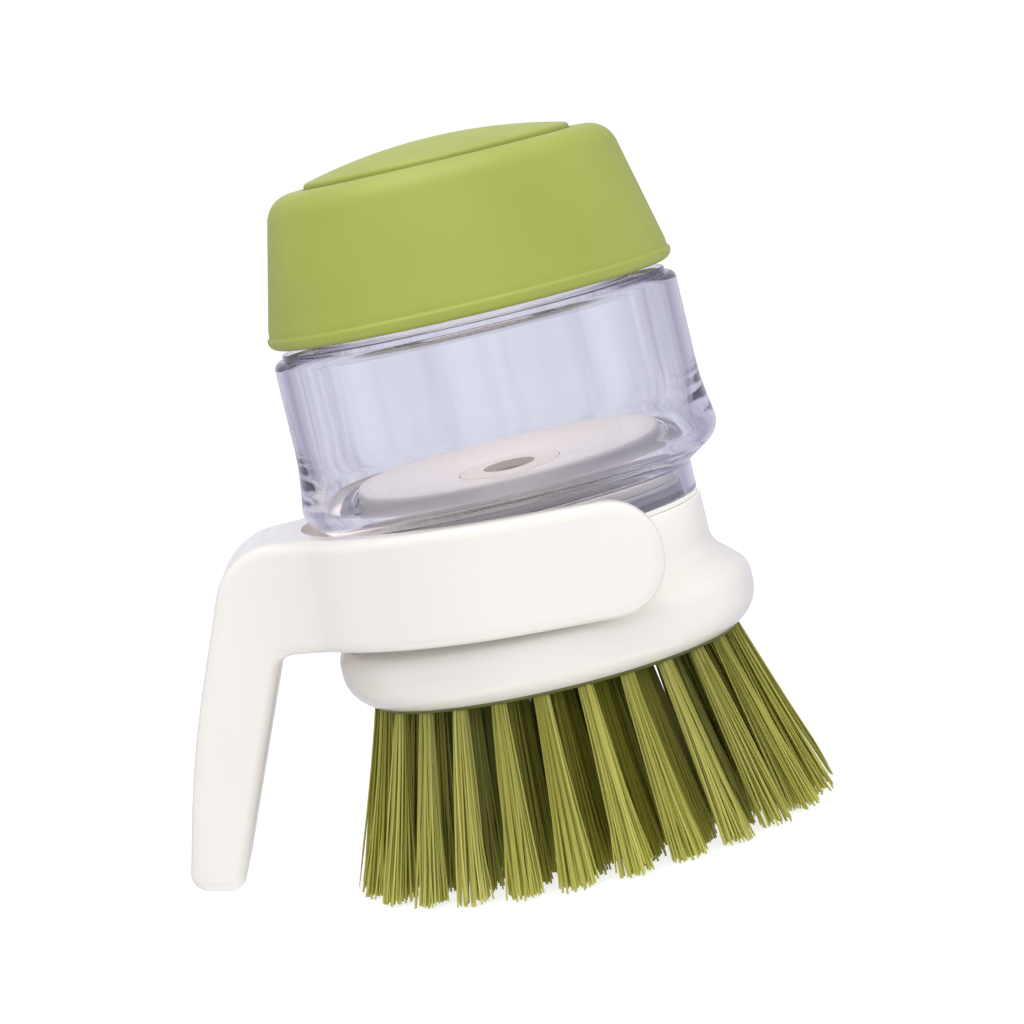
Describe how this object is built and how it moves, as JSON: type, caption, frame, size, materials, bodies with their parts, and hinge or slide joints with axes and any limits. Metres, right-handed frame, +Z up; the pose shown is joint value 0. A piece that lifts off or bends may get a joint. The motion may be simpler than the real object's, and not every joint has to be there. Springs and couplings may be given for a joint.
{
  "type": "soap-dispensing dish brush",
  "caption": "Palm-held round dish brush with a push-button cap, a clear screw-on soap tank and splayed bristles, parked in a one-legged stand whose fork slides onto its neck.",
  "frame": {"origin": "on the brush's axis, in the plane of the bristle tips", "axes": "+Z up along the brush's axis towards the button; the stand's fork opens towards +X and its leg hangs at -X; the picture is taken from -Y"},
  "size_m": [0.1201, 0.091, 0.133],
  "materials": {
    "green": "soft matte",
    "clear": "clear, glossy",
    "white": "glossy",
    "inner_white": "satin",
    "silicone": "translucent, matte",
    "seal": "matte",
    "block": "matte",
    "bristle": "satin",
    "staple": "bare wire"
  },
  "bodies": {
    "head": {"brush_head": "white", "feed_tube": "white", "tuft_block": "block", "tuft_ring_1": "bristle", "tuft_ring_2": "bristle", "tuft_ring_3": "bristle", "tuft_ring_4": "bristle", "tuft_ring_5": "bristle", "tuft_anchors": "staple", "slit_valve": "silicone", "valve_retainer": "inner_white", "plug_seal": "seal"},
    "washer": {"neck_washer": "silicone"},
    "tank": {"tank": "clear", "tank_top": "clear", "tank_base": "clear"},
    "gasket": {"cap_gasket": "silicone"},
    "cap": {"cap_shell": "green", "cap_insert": "inner_white", "bellows_ring": "inner_white", "pump_bellows": "silicone"},
    "button": {"push_button": "green"},
    "stand": {"stand": "white"}
  },
  "joints": [
    {"name": "tank_lift", "type": "slide", "parent": "head", "child": "washer", "axis": [0, 0, 1], "range_m": [0, 0.006]},
    {"name": "tank_turn", "type": "hinge", "parent": "washer", "child": "tank", "pos_m": [0, 0, 0.0596], "axis": [0, 0, 1], "range_deg": [0, 541]},
    {"name": "cap_lift", "type": "slide", "parent": "tank", "child": "gasket", "axis": [0, 0, 1], "range_m": [0, 0.006]},
    {"name": "cap_turn", "type": "hinge", "parent": "gasket", "child": "cap", "pos_m": [0, 0, 0.1136], "axis": [0, 0, 1], "range_deg": [0, 541]},
    {"name": "button_press", "type": "slide", "parent": "cap", "child": "button", "axis": [0, 0, -1], "range_m": [0, 0.004], "stiffness_N_per_m": 1200, "springref_m": -0.0008, "deforming": ["pump_bellows"]},
    {"name": "stand_slide", "type": "slide", "parent": "head", "child": "stand", "axis": [-0.9986, 0, 0.0523], "range_m": [0, 0.065]}
  ],
  "couplings": [
    {"joint": "tank_turn", "follows": "tank_lift", "rad_per_m": 1570.8},
    {"joint": "cap_turn", "follows": "cap_lift", "rad_per_m": 1570.8}
  ]
}
